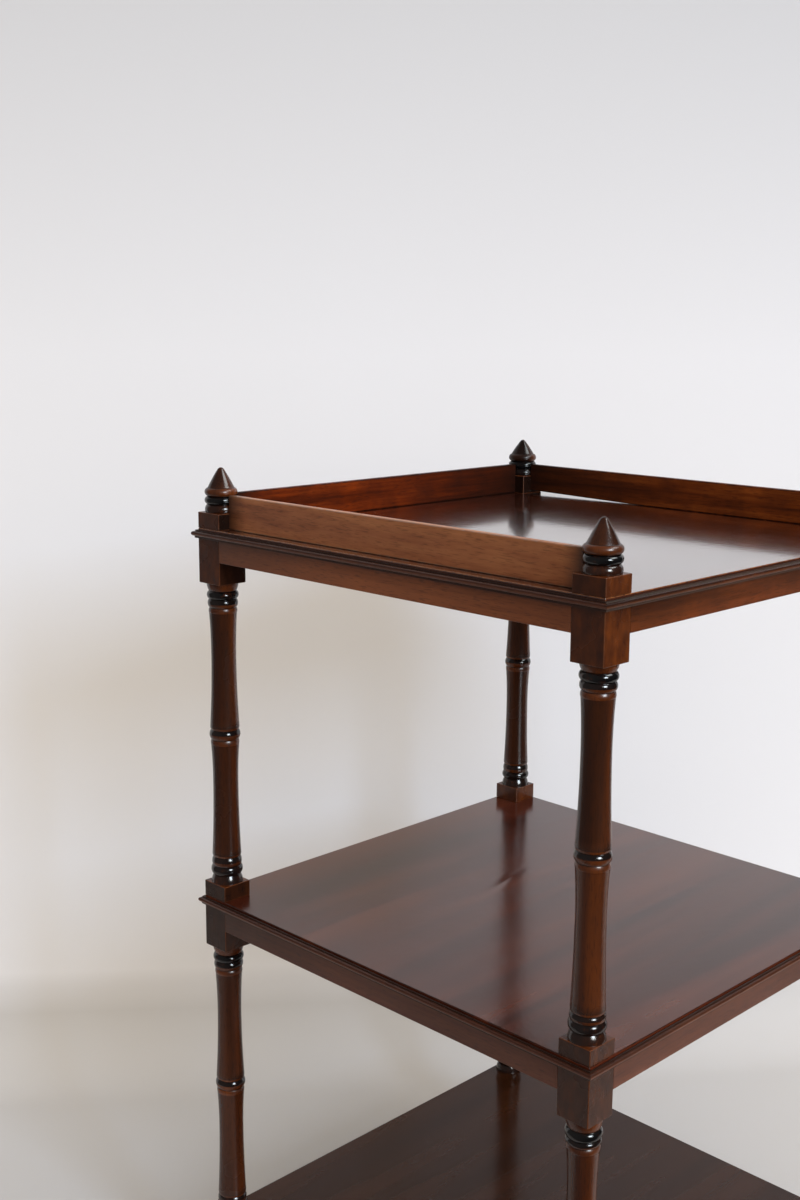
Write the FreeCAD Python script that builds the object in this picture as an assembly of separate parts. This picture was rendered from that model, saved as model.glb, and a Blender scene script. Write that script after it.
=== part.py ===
import FreeCAD, Part

import math
import os

from FreeCAD import Rotation, Vector

# Three-tier mahogany etagere: ring-turned columns between moulded shelves, a low gallery round three
# sides of the top and a pointed finial over each post.
#
# Millimetres, +Z up. The origin is on the floor, midway between the four posts. The open front of the
# gallery faces -Y. Every tier is built alike: a square block under the shelf takes the tenons of two
# rails, and a round pin on the block's top goes up through the shelf's corner into whatever stands on it.

# Posts
post_side = 33.0                    # square blocks and plinths
post_spacing_x = 458.0              # between the post axes, left to right
post_spacing_y = 472.0              # between the post axes, front to back
corner_block_height = 45.0
plinth_height = 15.5

# Pins that hold the stack of posts together
pin_radius = 7.0
pin_engagement = 12.0               # into the piece above the shelf
pin_clearance = 0.15                # all round the pin, in the shelf and in the socket
socket_end_gap = 0.5                # left over the pin's end
pin_chamfer = 1.0

# Shelves
shelf_thickness = 10.0
shelf_arris_radius = 0.8

# Moulding glued round the edge of each shelf, mitred at the corners
moulding_lip_width = 2.6            # the flat lip below the roll
moulding_lip_height = 2.0
moulding_roll_setback = 3.0         # from the shelf's edge to the centre of the roll
moulding_fillet_width = 2.2         # the flat fillet above the roll
moulding_fillet_height = 1.4
moulding_top_drop = 2.0             # from the shelf's top to the fillet
quirk_width = 0.9                   # the sunk line between the shelf and the moulding
quirk_depth = 1.0

# Rails, tenoned into the corner blocks
rail_height = 22.0
rail_thickness = 20.0
rail_arris = 0.6
tenon_thickness = 7.0
tenon_height = 14.0
tenon_length = 16.0
tenon_setback = 10.0                # from the rail's outer face to the middle of the tenon
tenon_drop = 4.0                    # from the rail's top to the tenon
joint_clearance = 0.1               # round each tenon and tongue
mortise_end_gap = 1.0

# Glue blocks in the angle between shelf and rail
glue_block_side = 12.0
glue_block_length = 45.0
glue_block_inset = 70.0             # from the end of the rail to the middle of the block

# Screws through the rails into the shelves
screw_shank_radius = 2.0
screw_head_radius = 4.0
screw_head_height = 2.6
screw_bite = 6.5                    # into the shelf
screw_clearance = 0.1
counterbore_radius = 4.6
counterbore_depth = 9.0
pilot_end_gap = 0.5

# Turned length of a column, from the foot of its base bell to its block, and its members upwards. The two
# hollow shafts share the length that the other members leave. Each starts at a rounded edge and ends at a
# rounded shoulder.
turned_length = 315.5
base_foot_radius = 16.3             # the bell at the foot spreads to here
base_bell_height = 8.9
base_bell_swell = 15.5
large_ring_height = 10.9
large_ring_radius = 16.3
small_ring_height = 8.4
small_ring_radius = 15.3
shallow_quirk_radius = 14.5         # between the base's rings
quirk_radius = 13.8                 # the deeper grooves
shaft_edge_height = 2.8
shaft_edge_swell = 14.6
shaft_edge_radius = 14.85
lower_waist_radius = 12.85
lower_waist_drop = 38.7             # from the top of the lower hollow down to its waist
lower_shaft_radius = 14.25
shoulder_height = 5.6
lower_shoulder_swell = 14.5
middle_ring_height = 10.2
middle_ring_radius = 15.7
upper_waist_radius = 12.5
upper_waist_drop = 43.0             # from the top of the upper hollow down to its waist
upper_shaft_radius = 13.9
upper_shoulder_swell = 14.3
collar_quirk_radius = 13.4          # the groove under the collar ring
collar_ring_height = 8.9
collar_ring_radius = 15.2
neck_ring_height = 8.2
neck_ring_radius = 15.95
neck_height = 8.3                   # quarter round under the block
neck_swell_radius = 15.3
neck_radius = 15.9

# Finials
finial_foot_radius = 15.6
finial_torus_height = 7.8
finial_torus_radius = 16.1
finial_ring_height = 7.6
finial_ring_radius = 16.4
finial_quirk_radius = 13.4          # the groove under the cap ring
cap_ring_height = 7.8
cap_ring_radius = 16.3
cone_height = 18.7
cone_base_radius = 13.3
cone_tip_radius = 3.4
cone_swell = 0.3                    # how far the side of the cone bellies out
tip_height = 2.1

# The turner worked by eye. Some pieces differ from the sizes above, by these heights of their members, and
# where the lower shaft is shorter or longer the upper one makes up for it.
turned_by_eye = {
    "upper_column_front_left": {
        "plinth": -1.0,
        "base_bell": -0.9,
        "large_ring": -1.7,
        "small_ring": -1.6,
        "lower_shaft": -1.2,
        "middle_ring": -0.5,
        "collar_ring": -0.9,
        "neck_ring": -0.2,
        "neck": -1.9,
    },
    "upper_column_back_left": {
        "plinth": 0.5,
        "base_bell": -0.6,
        "large_ring": -0.9,
        "small_ring": 1.0,
        "lower_shaft": -0.6,
        "neck": -0.4,
    },
    "upper_column_back_right": {
        "plinth": 2.2,
        "base_bell": -0.5,
        "large_ring": -2.0,
        "small_ring": 0.8,
    },
    "lower_column_front_left": {"collar_ring": -2.9, "neck_ring": 0.8, "neck": 0.9},
    "finial_front_left": {"cone": -0.2},
    "finial_back_left": {"plinth": 0.5, "torus": 0.3, "ring": 0.4, "cap_ring": 0.4, "cone": -0.9},
    "finial_back_right": {"plinth": 5.0, "ring": 1.0, "cap_ring": 0.8, "cone": -4.2},
}

# Feet
toe_height = 26.6
toe_radius = 17.0
pad_height = 3.0
pad_radius = 10.5

# Gallery round the left, back and right of the top
gallery_height = 34.0
gallery_thickness = 7.0
gallery_arris_radius = 1.2
tongue_thickness = 4.0
tongue_height = 7.0
tongue_length = 5.0
tongue_rise = 4.5                   # from the shelf to the tongue
lifted_edge_height = 3.2            # the right board has lifted at its back end
lifted_edge_length = 162.0

# Places worked out from the sizes above
half_post = post_side / 2
shelf_size_x = post_spacing_x + post_side
shelf_size_y = post_spacing_y + post_side
moulding_roll_radius = (
    shelf_thickness - moulding_top_drop - moulding_fillet_height - moulding_lip_height
) / 2
moulding_reach = moulding_roll_setback + moulding_roll_radius
base_height = base_bell_height + large_ring_height + small_ring_height
collar_height = collar_ring_height + neck_ring_height + neck_height
foot_block_z = pad_height + toe_height + collar_height
bottom_shelf_z = foot_block_z + corner_block_height
lower_column_z = bottom_shelf_z + shelf_thickness
lower_block_z = lower_column_z + turned_length
middle_shelf_z = lower_block_z + corner_block_height
upper_column_z = middle_shelf_z + shelf_thickness
upper_block_z = upper_column_z + plinth_height + turned_length
top_shelf_z = upper_block_z + corner_block_height
finial_z = top_shelf_z + shelf_thickness

# The underside of each shelf
tiers = {"bottom": bottom_shelf_z, "middle": middle_shelf_z, "top": top_shelf_z}

# How far each corner is turned about Z from the front left one, and each side from the front, in degrees
corner_turns = {"front_left": 0, "front_right": 90, "back_right": 180, "back_left": 270}
side_turns = {"front": 0, "right": 90, "back": 180, "left": 270}


def box(low, high):
    """A box between two opposite corners."""
    size = high - low
    return Part.makeBox(size.x, size.y, size.z, low)


def swapped(point):
    """A point with its X and Y exchanged."""
    return Vector(point.y, point.x, point.z)


def turned_to(shape, degrees):
    """A shape made for the front, turned about the vertical axis to another side."""
    shape.rotate(Vector(0, 0, 0), Vector(0, 0, 1), degrees)
    return shape


def post_centre(corner, z):
    """The point where a post's axis crosses a height."""
    x = post_spacing_x / 2 if "right" in corner else -post_spacing_x / 2
    y = post_spacing_y / 2 if "back" in corner else -post_spacing_y / 2
    return Vector(x, y, z)


def side_span(side):
    """The distance between the two posts of a side, and from the centre to their line."""
    if side in ("front", "back"):
        return post_spacing_x, post_spacing_y / 2
    return post_spacing_y, post_spacing_x / 2


def at_corner(shape, corner):
    """A shape made on the Z axis for the front left corner, set on the axis of another post."""
    turned_to(shape, corner_turns[corner])
    shape.translate(post_centre(corner, 0))
    return shape


def edges_through(shape, points):
    """The edges of a shape that pass through the given points."""
    found = []
    for point in points:
        marker = Part.Vertex(point)
        found.append(min(shape.Edges, key=lambda edge: edge.distToShape(marker)[0]))
    return found


def upright_arc(waist, end):
    """An arc that leaves the waist of a hollow upright and runs to the given end."""
    spread = end.x - waist.x
    rise = end.z - waist.z
    radius = (spread ** 2 + rise ** 2) / (2 * spread)
    half_angle = math.asin(abs(rise) / radius) / 2
    middle = Vector(
        waist.x + radius * (1 - math.cos(half_angle)),
        0,
        waist.z + math.copysign(radius * math.sin(half_angle), rise),
    )
    return Part.Arc(waist, middle, end).toShape()


class Turning:
    """The outline of a turned piece, drawn upwards member by member and then spun about the Z axis."""

    def __init__(self, base_z, radius, differences=None):
        self.differences = differences or {}
        self.foot = Vector(0, 0, base_z)
        self.point = Vector(radius, 0, base_z)
        self.edges = [Part.makeLine(self.foot, self.point)]

    def straight(self, rise, radius):
        """A plain cone or cylinder."""
        end = Vector(radius, 0, self.point.z + rise)
        self.edges.append(Part.makeLine(self.point, end))
        self.point = end

    def bead(self, member, rise, swell, radius):
        """A rounded member, by its name, that reaches the radius swell at half its height."""
        rise += self.differences.get(member, 0)
        middle = Vector(swell, 0, self.point.z + rise / 2)
        end = Vector(radius, 0, self.point.z + rise)
        self.edges.append(Part.Arc(self.point, middle, end).toShape())
        self.point = end

    def hollow(self, rise, radius, waist_drop, waist_radius):
        """A long hollow shaft: one arc in to the waist, which lies waist_drop below its top, and one out."""
        end = Vector(radius, 0, self.point.z + rise)
        waist = Vector(waist_radius, 0, end.z - waist_drop)
        self.edges.append(upright_arc(waist, self.point))
        self.edges.append(upright_arc(waist, end))
        self.point = end

    def tip(self, rise):
        """A spherical cap that closes the outline on the axis."""
        radius = (self.point.x ** 2 + rise ** 2) / (2 * rise)
        half_angle = math.asin(self.point.x / radius) / 2
        end = Vector(0, 0, self.point.z + rise)
        middle = Vector(radius * math.sin(half_angle), 0, end.z - radius * (1 - math.cos(half_angle)))
        self.edges.append(Part.Arc(self.point, middle, end).toShape())
        self.point = end

    def solid(self):
        """The spun solid."""
        centre = Vector(0, 0, self.point.z)
        if self.point.x > 0:
            self.edges.append(Part.makeLine(self.point, centre))
        self.edges.append(Part.makeLine(centre, self.foot))
        outline = Part.Wire(Part.sortEdges(self.edges)[0])
        return Part.Face(outline).revolve(self.foot, Vector(0, 0, 1), 360)


def add_shaft(turning, height, waist_drop, waist_radius, radius, shoulder_swell, groove_radius):
    """A shaft between two grooves: its rounded edge, the hollow and the rounded shoulder."""
    turning.bead("shaft_edge", shaft_edge_height, shaft_edge_swell, shaft_edge_radius)
    turning.hollow(height - shaft_edge_height - shoulder_height, radius, waist_drop, waist_radius)
    turning.bead("shoulder", shoulder_height, shoulder_swell, groove_radius)


def add_neck(turning):
    """The members under every corner block: collar ring, neck ring and quarter round."""
    turning.bead("collar_ring", collar_ring_height, collar_ring_radius, quirk_radius)
    turning.bead("neck_ring", neck_ring_height, neck_ring_radius, quirk_radius)
    turning.bead("neck", neck_height, neck_swell_radius, neck_radius)


def turned_shaft(base_z, length, differences):
    """The ring-turned length of a column, with the differences of its members."""
    extra = sum(differences.values()) - differences.get("plinth", 0) - differences.get("lower_shaft", 0)
    shaft_height = (length - base_height - middle_ring_height - collar_height - extra) / 2
    lower_height = shaft_height + differences.get("lower_shaft", 0)
    upper_height = shaft_height - differences.get("lower_shaft", 0)
    turning = Turning(base_z, base_foot_radius, differences)
    turning.bead("base_bell", base_bell_height, base_bell_swell, quirk_radius)
    turning.bead("large_ring", large_ring_height, large_ring_radius, shallow_quirk_radius)
    turning.bead("small_ring", small_ring_height, small_ring_radius, quirk_radius)
    add_shaft(
        turning, lower_height, lower_waist_drop, lower_waist_radius,
        lower_shaft_radius, lower_shoulder_swell, quirk_radius,
    )
    turning.bead("middle_ring", middle_ring_height, middle_ring_radius, quirk_radius)
    add_shaft(
        turning, upper_height, upper_waist_drop, upper_waist_radius,
        upper_shaft_radius, upper_shoulder_swell, collar_quirk_radius,
    )
    add_neck(turning)
    return turning.solid()


def square_length(base_z, height):
    """A length of square post on the Z axis."""
    return box(Vector(-half_post, -half_post, base_z), Vector(half_post, half_post, base_z + height))


def pin(base_z):
    """The round pin on top of a block, with a chamfered end."""
    outline = Turning(base_z, pin_radius)
    outline.straight(shelf_thickness + pin_engagement - pin_chamfer, pin_radius)
    outline.straight(pin_chamfer, pin_radius - pin_chamfer)
    return outline.solid()


def socket(base_z):
    """The hole that takes a pin, in the foot of whatever stands on a shelf."""
    depth = pin_engagement + socket_end_gap
    return Part.makeCylinder(pin_radius + pin_clearance, depth, Vector(0, 0, base_z))


def corner_block(base_z):
    """The block under a shelf, with its pin and the mortises of two rails, for the front left corner."""
    top_z = base_z + corner_block_height
    middle_y = tenon_setback - half_post
    reach_y = tenon_thickness / 2 + joint_clearance
    low = Vector(
        half_post - tenon_length - mortise_end_gap,
        middle_y - reach_y,
        top_z - tenon_drop - tenon_height - joint_clearance,
    )
    high = Vector(half_post, middle_y + reach_y, top_z - tenon_drop + joint_clearance)
    block = square_length(base_z, corner_block_height)
    block = block.cut([box(low, high), box(swapped(low), swapped(high))])
    return block.fuse(pin(top_z))


def column(node, base_z, square_height):
    """A column that stands on base_z: a square length if it has one, the turned shaft and the block."""
    differences = turned_by_eye.get(node, {})
    block_z = base_z + square_height + turned_length
    square_height += differences.get("plinth", 0)
    shaft_z = base_z + square_height
    solids = [corner_block(block_z)]
    if square_height > 0:
        solids.append(square_length(base_z, square_height))
    shaft = turned_shaft(shaft_z, block_z - shaft_z, differences)
    return shaft.fuse(solids).cut(socket(base_z)).removeSplitter()


def foot():
    """A short turned foot with the bottom tier's corner block on it."""
    toe = Turning(0, pad_radius)
    toe.straight(pad_height, pad_radius)
    toe.bead("toe", toe_height, toe_radius, quirk_radius)
    add_neck(toe)
    return toe.solid().fuse(corner_block(foot_block_z)).removeSplitter()


def tongue_slot(base_z):
    """The slot in a finial's plinth for the tongue of a gallery board that runs along X."""
    reach_y = tongue_thickness / 2 + joint_clearance
    return box(
        Vector(half_post - tongue_length - socket_end_gap, -reach_y, base_z + tongue_rise - joint_clearance),
        Vector(half_post, reach_y, base_z + tongue_rise + tongue_height + joint_clearance),
    )


def finial(corner):
    """A plinth, a stack of rings and a blunt cone, slotted for the gallery boards that meet it."""
    differences = turned_by_eye.get(f"finial_{corner}", {})
    square_height = plinth_height + differences.get("plinth", 0)
    outline = Turning(finial_z + square_height, finial_foot_radius, differences)
    outline.bead("torus", finial_torus_height, finial_torus_radius, quirk_radius)
    outline.bead("ring", finial_ring_height, finial_ring_radius, finial_quirk_radius)
    outline.bead("cap_ring", cap_ring_height, cap_ring_radius, cone_base_radius)
    cone_middle_radius = (cone_base_radius + cone_tip_radius) / 2 + cone_swell
    outline.bead("cone", cone_height, cone_middle_radius, cone_tip_radius)
    outline.tip(tip_height)
    cuts = [socket(finial_z)]
    if corner != "front_left":
        cuts.append(tongue_slot(finial_z))
    if corner != "front_right":
        cuts.append(turned_to(tongue_slot(finial_z), 90))
    whole = outline.solid().fuse(square_length(finial_z, square_height))
    return whole.cut(cuts).removeSplitter()


def screw_axes(shelf_z):
    """Where the screw of each rail stands, at the height of the shelf's underside."""
    axes = []
    for side, turn in side_turns.items():
        _, reach = side_span(side)
        point = Vector(0, -reach - half_post + rail_thickness / 2, shelf_z)
        axes.append(Rotation(Vector(0, 0, 1), turn).multVec(point))
    return axes


def shelf(underside_z):
    """A shelf board: eased top edges, four holes for the pins and blind holes for the screws."""
    top_z = underside_z + shelf_thickness
    half_x = shelf_size_x / 2
    half_y = shelf_size_y / 2
    board = box(Vector(-half_x, -half_y, underside_z), Vector(half_x, half_y, top_z))
    edge_middles = [
        Vector(half_x, 0, top_z),
        Vector(-half_x, 0, top_z),
        Vector(0, half_y, top_z),
        Vector(0, -half_y, top_z),
    ]
    board = board.makeFillet(shelf_arris_radius, edges_through(board, edge_middles))
    holes = [
        Part.makeCylinder(pin_radius + pin_clearance, shelf_thickness, post_centre(corner, underside_z))
        for corner in corner_turns
    ]
    holes += [
        Part.makeCylinder(screw_shank_radius + screw_clearance, screw_bite + pilot_end_gap, point)
        for point in screw_axes(underside_z)
    ]
    return board.cut(holes)


def moulding(underside_z, side):
    """One side of a shelf's edge moulding, mitred at both ends."""
    run, reach = side_span(side)
    inner_y = -reach - half_post
    inner_half = run / 2 + half_post
    outer_half = inner_half + moulding_reach

    def at(width, drop):
        return Vector(-outer_half, inner_y - width, underside_z + shelf_thickness - drop)

    roll_top = moulding_top_drop + moulding_fillet_height
    roll_bottom = roll_top + 2 * moulding_roll_radius
    roll = Part.Arc(
        at(moulding_roll_setback, roll_bottom),
        at(moulding_reach, roll_top + moulding_roll_radius),
        at(moulding_roll_setback, roll_top),
    ).toShape()
    lip = Part.makePolygon([
        at(0, shelf_thickness),
        at(moulding_lip_width, shelf_thickness),
        at(moulding_lip_width, roll_bottom),
        at(moulding_roll_setback, roll_bottom),
    ])
    fillet_and_quirk = Part.makePolygon([
        at(moulding_roll_setback, roll_top),
        at(moulding_fillet_width, roll_top),
        at(moulding_fillet_width, moulding_top_drop),
        at(quirk_width, moulding_top_drop),
        at(quirk_width, moulding_top_drop + quirk_depth),
        at(0, moulding_top_drop + quirk_depth),
        at(0, shelf_thickness),
    ])
    profile = Part.Wire(lip.Edges + [roll] + fillet_and_quirk.Edges)
    strip = Part.Face(profile).extrude(Vector(2 * outer_half, 0, 0))
    mitred_plan = Part.makePolygon([
        Vector(-inner_half, inner_y, underside_z),
        Vector(inner_half, inner_y, underside_z),
        Vector(outer_half, inner_y - moulding_reach, underside_z),
        Vector(-outer_half, inner_y - moulding_reach, underside_z),
        Vector(-inner_half, inner_y, underside_z),
    ])
    mitres = Part.Face(mitred_plan).extrude(Vector(0, 0, shelf_thickness))
    return turned_to(strip.common(mitres), side_turns[side])


def rail(shelf_z, side):
    """One rail with a tenon at each end, its outer face flush with the corner blocks."""
    run, reach = side_span(side)
    outer_y = -reach - half_post
    inner_y = outer_y + rail_thickness
    half_length = run / 2 - half_post
    bottom_z = shelf_z - rail_height
    bar = box(Vector(-half_length, outer_y, bottom_z), Vector(half_length, inner_y, shelf_z))
    bar = bar.makeFillet(rail_arris, edges_through(bar, [Vector(0, outer_y, bottom_z)]))
    tenon_y = outer_y + tenon_setback
    tenon_z = shelf_z - tenon_drop
    tenon_end = half_length + tenon_length
    tenons = box(
        Vector(-tenon_end, tenon_y - tenon_thickness / 2, tenon_z - tenon_height),
        Vector(tenon_end, tenon_y + tenon_thickness / 2, tenon_z),
    )
    screw_point = Vector(0, outer_y + rail_thickness / 2, bottom_z)
    holes = [
        Part.makeCylinder(counterbore_radius, counterbore_depth, screw_point),
        Part.makeCylinder(screw_shank_radius + screw_clearance, rail_height, screw_point),
    ]
    return turned_to(bar.fuse(tenons).cut(holes).removeSplitter(), side_turns[side])


def glue_blocks(shelf_z):
    """Two three-cornered blocks behind each rail, rubbed into the angle under the shelf."""
    blocks = []
    for side, turn in side_turns.items():
        run, reach = side_span(side)
        inner_y = -reach - half_post + rail_thickness
        offset = run / 2 - half_post - glue_block_inset
        for middle_x in (-offset, offset):
            start_x = middle_x - glue_block_length / 2
            section = Part.makePolygon([
                Vector(start_x, inner_y, shelf_z),
                Vector(start_x, inner_y + glue_block_side, shelf_z),
                Vector(start_x, inner_y, shelf_z - glue_block_side),
                Vector(start_x, inner_y, shelf_z),
            ])
            block = Part.Face(section).extrude(Vector(glue_block_length, 0, 0))
            blocks.append(turned_to(block, turn))
    return Part.makeCompound(blocks)


def screws(shelf_z):
    """The screw of each rail, its head on the floor of the counterbore."""
    shank_length = rail_height - counterbore_depth + screw_bite
    made = []
    for point in screw_axes(shelf_z):
        outline = Turning(counterbore_depth - rail_height - screw_head_height, screw_head_radius)
        outline.straight(screw_head_height, screw_head_radius)
        outline.straight(0, screw_shank_radius)
        outline.straight(shank_length, screw_shank_radius)
        screw = outline.solid()
        screw.translate(point)
        made.append(screw)
    return Part.makeCompound(made)


def gallery(side):
    """One gallery board, tongued into the plinths at both ends, with its top edge rounded."""
    run, reach = side_span(side)
    half_length = run / 2 - half_post
    top_z = finial_z + gallery_height
    front_y = -reach - gallery_thickness / 2
    back_y = -reach + gallery_thickness / 2
    board = box(Vector(-half_length, front_y, finial_z), Vector(half_length, back_y, top_z))
    edge_middles = [Vector(0, front_y, top_z), Vector(0, back_y, top_z)]
    board = board.makeFillet(gallery_arris_radius, edges_through(board, edge_middles))
    tongue_z = finial_z + tongue_rise
    tongue_end = half_length + tongue_length
    tongues = box(
        Vector(-tongue_end, -reach - tongue_thickness / 2, tongue_z),
        Vector(tongue_end, -reach + tongue_thickness / 2, tongue_z + tongue_height),
    )
    board = board.fuse(tongues).removeSplitter()
    if side == "right":
        board = board.cut(lifted_edge(half_length, -reach))
    return turned_to(board, side_turns[side])


def lifted_edge(end_x, middle_y):
    """The thin wedge of air under a board whose end has lifted off the shelf."""
    front_y = middle_y - gallery_thickness
    section = Part.makePolygon([
        Vector(end_x, front_y, finial_z),
        Vector(end_x, front_y, finial_z + lifted_edge_height),
        Vector(end_x - lifted_edge_length, front_y, finial_z),
        Vector(end_x, front_y, finial_z),
    ])
    return Part.Face(section).extrude(Vector(0, 2 * gallery_thickness, 0))


def all_parts():
    """Every piece by the name of its node."""
    parts = {}
    for tier, shelf_z in tiers.items():
        parts[f"{tier}_shelf"] = shelf(shelf_z)
        for side in side_turns:
            parts[f"{tier}_moulding_{side}"] = moulding(shelf_z, side)
            parts[f"{tier}_rail_{side}"] = rail(shelf_z, side)
        parts[f"{tier}_glue_blocks"] = glue_blocks(shelf_z)
        parts[f"{tier}_shelf_screws"] = screws(shelf_z)
    for corner in corner_turns:
        stack = {
            "foot": foot(),
            "lower_column": column(f"lower_column_{corner}", lower_column_z, 0),
            "upper_column": column(f"upper_column_{corner}", upper_column_z, plinth_height),
            "finial": finial(corner),
        }
        for name, shape in stack.items():
            parts[f"{name}_{corner}"] = at_corner(shape, corner)
    for side in ("left", "back", "right"):
        parts[f"gallery_{side}"] = gallery(side)
    return parts


os.makedirs("parts", exist_ok=True)
for node, shape in all_parts().items():
    shape.exportStep(f"parts/{node}.step")
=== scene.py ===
import logging
import math
from collections.abc import Iterable, Sequence
from dataclasses import dataclass, field, replace
from enum import Enum
from typing import Any

import bmesh
import bpy
from mathutils import Matrix, Vector


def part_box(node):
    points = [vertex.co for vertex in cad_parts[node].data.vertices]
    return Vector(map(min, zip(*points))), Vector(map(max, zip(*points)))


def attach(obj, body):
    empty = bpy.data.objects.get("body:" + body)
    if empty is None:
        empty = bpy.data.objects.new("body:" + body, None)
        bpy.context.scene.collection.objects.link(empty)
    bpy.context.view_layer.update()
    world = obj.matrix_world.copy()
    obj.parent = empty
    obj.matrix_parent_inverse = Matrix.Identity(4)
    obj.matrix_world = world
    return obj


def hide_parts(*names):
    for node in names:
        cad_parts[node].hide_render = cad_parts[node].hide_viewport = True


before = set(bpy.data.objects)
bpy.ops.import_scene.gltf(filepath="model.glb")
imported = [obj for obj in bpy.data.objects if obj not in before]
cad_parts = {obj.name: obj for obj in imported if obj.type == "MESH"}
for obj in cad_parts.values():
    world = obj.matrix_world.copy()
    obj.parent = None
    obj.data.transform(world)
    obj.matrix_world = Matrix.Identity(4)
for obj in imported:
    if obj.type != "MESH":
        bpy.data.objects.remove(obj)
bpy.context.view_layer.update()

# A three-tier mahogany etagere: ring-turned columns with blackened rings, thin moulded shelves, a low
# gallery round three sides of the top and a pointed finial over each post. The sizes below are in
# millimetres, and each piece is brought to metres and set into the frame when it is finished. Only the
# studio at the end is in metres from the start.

log = logging.getLogger("etagere")

MM = 0.001
BODY = "root"
SHARP_DEGREES = 40.0                    # faces that meet more steeply than this keep a hard edge
SQUARE_ON = 0.99                        # the cosine from which a face counts as facing a direction
# the stain mark carries painted shade: shaded faces, the shafts' unlit side, the finials, the quirks and the
# boards' ends, with dirt at the ends
POINT_MARKS = ("ebony", "groove", "rub", "stain")
FACE_MARKS = ("arris", "squared")


class Named(Enum):
    """An option that the nodes' names hold in lower case."""

    @property
    def label(self) -> str:
        """The option as the nodes name it."""
        return self.name.lower()


class Tier(Named):
    """One of the three shelves."""

    BOTTOM = 0
    MIDDLE = 1
    TOP = 2


class Storey(Named):
    """One of the two columns of a post."""

    LOWER = 0
    UPPER = 1


class Corner(Named):
    """A post, by its quarter turns from the front left one."""

    FRONT_LEFT = 0
    FRONT_RIGHT = 1
    BACK_RIGHT = 2
    BACK_LEFT = 3


class Side(Named):
    """A side of the etagere, by its quarter turns from the front."""

    FRONT = 0
    RIGHT = 1
    BACK = 2
    LEFT = 3

    @property
    def across(self) -> bool:
        """True where the side runs along X."""
        return self in (Side.FRONT, Side.BACK)

    @property
    def along(self) -> Vector:
        """The direction that the side runs in."""
        return Vector((1.0, 0.0, 0.0)) if self.across else Vector((0.0, 1.0, 0.0))

    @property
    def turn(self) -> float:
        """The angle from the front to this side."""
        return self.value * math.pi / 2

    @property
    def outward(self) -> Vector:
        """The direction that the side faces."""
        return Matrix.Rotation(self.turn, 3, "Z") @ Vector((0.0, -1.0, 0.0))


class Grain(Enum):
    """The way a piece's grain runs, as the turn that brings that axis on to X."""

    ALONG_X = (0.0, 0.0, 0.0)
    ALONG_Y = (0.0, 0.0, math.pi / 2)
    ALONG_Z = (0.0, math.pi / 2, 0.0)


def millimetres(node: str) -> tuple[Vector, Vector]:
    """A node's lowest and highest corners.

    Args:
        node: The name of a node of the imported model.

    Returns:
        The two corners, in millimetres.
    """
    low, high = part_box(node)
    return low / MM, high / MM


def linear(colour: str) -> tuple[float, float, float, float]:
    """A hex sRGB colour as Blender wants it.

    Args:
        colour: Six hex digits after a hash.

    Returns:
        Linear red, green, blue and an alpha of one.
    """
    channels = [int(colour[i:i + 2], 16) / 255 for i in (1, 3, 5)]
    low_end = 0.04045
    light = [c / 12.92 if c <= low_end else ((c + 0.055) / 1.055) ** 2.4 for c in channels]
    return light[0], light[1], light[2], 1.0


# ---------------------------------------------------------------- finishes

MIX_A, MIX_B = 6, 7                     # the colour inputs of a Mix node, whose names its other inputs share
Pair = tuple[float, float]


def add_node(
    tree: bpy.types.NodeTree, kind: str, inputs: dict[str | int, Any] | None = None, **settings: Any
) -> bpy.types.Node:
    """Adds one node with its settings, values and links.

    Args:
        tree: The tree that takes the node.
        kind: The node's type, without the words that all types begin with.
        inputs: For each input, by name or number, a value, an output to link, or a node whose first
            output in use is linked.
        **settings: Properties of the node itself.

    Returns:
        The new node.
    """
    node = tree.nodes.new("ShaderNode" + kind)
    for name, value in settings.items():
        setattr(node, name, value)
    for socket, value in (inputs or {}).items():
        if isinstance(value, bpy.types.Node):
            value = next(output for output in value.outputs if output.enabled)
        if isinstance(value, bpy.types.NodeSocket):
            tree.links.new(value, node.inputs[socket])
        else:
            node.inputs[socket].default_value = value
    return node


def mapped(value: Any, before: Pair = (0.0, 1.0), after: Pair = (0.0, 1.0)) -> dict[str, Any]:
    """The inputs that take a value from one span to another.

    Args:
        value: The node or output that gives the value.
        before: Where the value starts and ends.
        after: What these two become.

    Returns:
        The inputs of a Map Range node.
    """
    (start, stop), (first, last) = before, after
    return {"Value": value, "From Min": start, "From Max": stop, "To Min": first, "To Max": last}


def new_material(name: str) -> tuple[bpy.types.Material, bpy.types.NodeTree]:
    """An empty node material.

    Args:
        name: The material's name.

    Returns:
        The material and its tree.
    """
    material = bpy.data.materials.new(name)
    material.use_nodes = True
    material.node_tree.nodes.clear()
    return material, material.node_tree


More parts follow.
